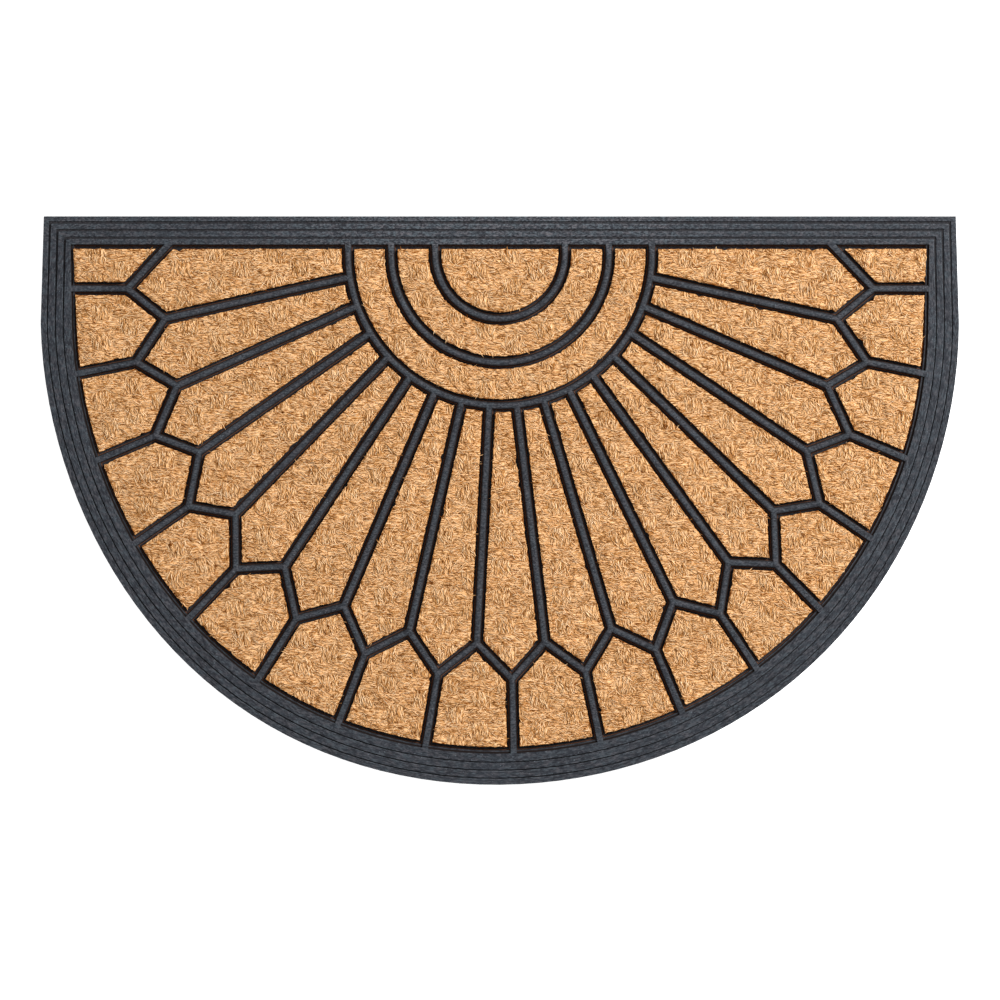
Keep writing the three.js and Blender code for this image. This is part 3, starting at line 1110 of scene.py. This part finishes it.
along = add(pile, "GeometryNodeSplineParameter").outputs["Factor"]
off_middle = calc(pile, "MULTIPLY_ADD", along, 2.0, -1.0)
off_squared = calc(pile, "MULTIPLY", off_middle, off_middle)
own_raise = calc(pile, "MULTIPLY", noted(pile, "raise"), given["Pile lift"])
up = calc(pile, "SUBTRACT", own_raise, calc(pile, "MULTIPLY", off_squared, given["Arch"]))
own_noise = {"W": calc(pile, "MULTIPLY", noted(pile, "tone"), 40.0), "Scale": 130.0, "Detail": 1.0}
bend = add(pile, "ShaderNodeTexNoise", own_noise, noise_dimensions="4D").outputs["Color"]
bend = vectors(pile, "SCALE", vectors(pile, "SUBTRACT", bend, (0.5, 0.5, 0.5)), given["Curl"])
bend_x, bend_y, bend_z = split(pile, bend)
up = calc(pile, "MULTIPLY_ADD", bend_z, 0.35, up)
curled = moved(pile, lines, xyz(pile, bend_x, bend_y, up))

# %% [markdown]
# ## Trimming the fibres
# A fibre that runs over the cut edge would lie across the gap and the rib. The nearest place on
# the inlay's top tells how far each point of a fibre stands outside it: points well outside are
# deleted, so the fibre ends there, and the last ones are drawn back to just past the edge.

# %% Trim the fibres
STRAY_FROM = 0.965  # fibres with a stray number above this are let past the edge
CUT_MARGIN = 1.5 * MM  # points farther out than this are deleted, nearer ones drawn back
SHORTEST = 2.0 * MM


def without(geometry, chosen, domain="POINT"):
    """The geometry without the chosen points or curves."""
    inputs = {"Geometry": geometry, "Selection": chosen}
    return add(pile, "GeometryNodeDeleteGeometry", inputs, domain=domain)


place = add(pile, "GeometryNodeInputPosition")
nearest = add(pile, "GeometryNodeProximity", {"Geometry": upper}, target_element="FACES")
outwards = vectors(pile, "SUBTRACT", place, nearest.outputs["Position"])
outwards = vectors(pile, "MULTIPLY", outwards, (1, 1, 0))
how_far = vectors(pile, "LENGTH", outwards)
is_stray = calc(pile, "GREATER_THAN", noted(pile, "stray"), STRAY_FROM)
allowed = calc(pile, "MULTIPLY_ADD", is_stray, given["Stray reach"], given["Past the cut"])
cut_off = calc(pile, "GREATER_THAN", how_far, calc(pile, "ADD", allowed, CUT_MARGIN))
excess = calc(pile, "MAXIMUM", calc(pile, "SUBTRACT", how_far, allowed), 0.0)
pull = calc(pile, "DIVIDE", excess, calc(pile, "MAXIMUM", how_far, 1e-6))
back = vectors(pile, "SCALE", outwards, calc(pile, "MULTIPLY", pull, -1.0))
trimmed = moved(pile, without(curled, cut_off), back)
fibre_length = add(pile, "GeometryNodeSplineLength")
too_short = calc(pile, "LESS_THAN", fibre_length, SHORTEST)
trimmed = without(trimmed, too_short, "CURVE")

# %% Give the fibres their bodies
rim_edges = calc(pile, "LESS_THAN", add(pile, "GeometryNodeInputMeshEdgeNeighbors"), 1.5)
rim = {"Geometry": upper, "Selection": rim_edges}
rim = add(pile, "GeometryNodeSeparateGeometry", rim, domain="EDGE")
to_rim = add(pile, "GeometryNodeProximity", {"Geometry": rim}, target_element="EDGES")
# How near each point lies to the cut edge, for the painted shade there.
rim_shade = calc(pile, "SUBTRACT", 1.0, ease(pile, to_rim.outputs["Distance"], 0.0, 1.6 * MM))
trimmed = note(pile, trimmed, "fibre", add(pile, "GeometryNodeInputIndex"), "CURVE")
trimmed = note(pile, trimmed, "along", along)
trimmed = note(pile, trimmed, "rim", rim_shade)
profile = add(pile, "GeometryNodeCurvePrimitiveCircle", {"Resolution": 3, "Radius": 1.0})
profile = note(pile, profile, "around", along)
taper = calc(pile, "MAXIMUM", calc(pile, "SUBTRACT", 1.0, off_squared), 0.0)
own_radius = calc(pile, "MULTIPLY", noted(pile, "girth"), given["Fibre radius"])
thickness = calc(pile, "MULTIPLY", own_radius, calc(pile, "SQRT", taper))
bodies = {"Curve": trimmed, "Profile Curve": profile, "Scale": thickness}
bodies = add(pile, "GeometryNodeCurveToMesh", bodies)
weld = {"Geometry": bodies, "Distance": 0.0005 * MM}
closed = add(pile, "GeometryNodeMergeByDistance", weld)
faces_there = add(pile, "GeometryNodeInputMeshVertexNeighbors").outputs["Face Count"]
crumb = calc(pile, "LESS_THAN", faces_there, 2.5)
finish_tree(pile, without(closed, crumb), given, made)

# %% [markdown]
# ## Unrolling the fibres
# When the part is exported, its colours are baked onto a flat map. A tool can unwrap any mesh, but
# it is slow and wasteful on thousands of loose hairs. The tree knows better: it has noted which
# fibre each point belongs to, how far along it is and how far around. So each fibre gets a small
# rectangle of its own on the map, and no two overlap.

# %% Function that unrolls the fibres
def unroll_fibres(mesh):
    """A map for baking, with one small rectangle for each fibre."""
    corner_point = np.empty(len(mesh.loops), np.int32)
    mesh.loops.foreach_get("vertex_index", corner_point)
    face_start = np.empty(len(mesh.polygons), np.int32)
    mesh.polygons.foreach_get("loop_start", face_start)
    face = np.repeat(np.arange(len(face_start)), np.diff([*face_start, len(corner_point)]))
    corners = []
    for name in ["fibre", "along", "around"]:
        values = np.empty(len(mesh.vertices), np.float32)
        mesh.attributes[name].data.foreach_get("value", values)
        corners.append(values[corner_point])
    fibre, along, around = corners
    tip = (along < 0.001) | (along > 0.999)
    lowest = np.minimum.reduceat(np.where(tip, 9, around), face_start)[face]
    highest = np.maximum.reduceat(np.where(tip, -9, around), face_start)[face]
    closes_round = (lowest < 0.1) & (highest > 0.6)
    around = np.where(closes_round & (around < 0.1), 1.0, around)
    lowest = np.where(closes_round, highest, lowest)
    highest = np.where(closes_round, 1.0, highest)
    around = np.where(tip, (lowest + highest) / 2, around)
    fibres = int(fibre.max()) + 1
    columns = math.ceil(math.sqrt(fibres / 4))
    rows = math.ceil(fibres / columns)
    across = (fibre % columns + 0.08 + 0.84 * along) / columns
    up = (fibre // columns + 0.88 - 0.76 * around) / rows
    flat_map = mesh.uv_layers.new(name="OFBake")
    flat_map.uv.foreach_set("vector", np.stack([across, up], axis=1).astype(np.float32).ravel())


def keep_noted(mesh, *wanted):
    """Removes what the trees noted on a mesh, apart from what its material reads."""
    all_noted = "inward ledge border detail pocket wear upright turn tone stray girth raise"
    for name in [*all_noted.split(), "fibre", "along", "around", "rim"]:
        if name in mesh.attributes and name not in wanted:
            mesh.attributes.remove(mesh.attributes[name])


# %% A pile for each inlay
piles = {}
for number, name in enumerate(INLAYS):
    values = {"Seed": number, "Material": loose_coir}
    fibres = run_tree(name.replace("coir_", "pile_"), woven[name].data, pile, values)
    fibres.data.shade_smooth()
    unroll_fibres(fibres.data)
    keep_noted(fibres.data, "tone", "rim")
    keep_noted(woven[name].data, "upright")
    piles[name] = fibres
keep_noted(moulded_tray.data, "wear")
triangles = [sum(len(face.vertices) - 2 for face in p.data.polygons) for p in piles.values()]
print("fibre triangles", sum(triangles), "most in one pile", max(triangles))

# %% [markdown]
# ## What each piece stands for
# Every inlay replaces its solid: its woven piece and its pile are attached to the root, and the
# solid is hidden.


for name in INLAYS:
    for piece in [woven[name], piles[name]]:
        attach(piece, "root")
    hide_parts(name)

# %% [markdown]
# ## Floor and light
# A plain white floor and soft light from above suit a product photograph. In the photograph the
# grooves show best at the lower left and hardly at the right, so the main light stands to the
# upper right, near enough that the mat is a little paler on that side. The floor glows a
# little, because the photograph shows no shadow on it.

# %% Studio
WHITE = (1, 1, 1, 1)
HALF_FLOOR = 3.0
FLOOR_DROP = -0.1 * MM
LIGHT_TOWARDS = (0.95, 0.6, 0.95)
LIGHT_DISTANCE = 4.2

floor_mesh = bpy.data.meshes.new("studio_floor")
floor_corners = [(-1, -1), (1, -1), (1, 1), (-1, 1)]
floor_corners = [(x * HALF_FLOOR, y * HALF_FLOOR, FLOOR_DROP) for x, y in floor_corners]
floor_mesh.from_pydata(floor_corners, [], [(0, 1, 2, 3)])
floor = bpy.data.objects.new("studio_floor", floor_mesh)
bpy.context.collection.objects.link(floor)
paper, tree, shader = new_material("white_paper", Roughness=0.95, Emission_Strength=0.7)
shader.inputs["Base Color"].default_value = (0.9, 0.9, 0.9, 1)
shader.inputs["Emission Color"].default_value = WHITE
floor_mesh.materials.append(paper)

world = bpy.data.worlds.new("studio")
world.use_nodes = True
background = world.node_tree.nodes["Background"].inputs
background["Color"].default_value = WHITE
background["Strength"].default_value = 0.7
bpy.context.scene.world = world
bpy.context.scene.view_settings.view_transform = "Standard"

light = bpy.data.lights.new("main_light", "AREA")
light.shape = "SQUARE"
light.size = 1.5
light.energy = 278.0
lamp = bpy.data.objects.new("main_light", light)
lamp.location = Vector(LIGHT_TOWARDS).normalized() * LIGHT_DISTANCE
lamp.rotation_euler = (-lamp.location).to_track_quat("-Z", "Y").to_euler()
bpy.context.collection.objects.link(lamp)
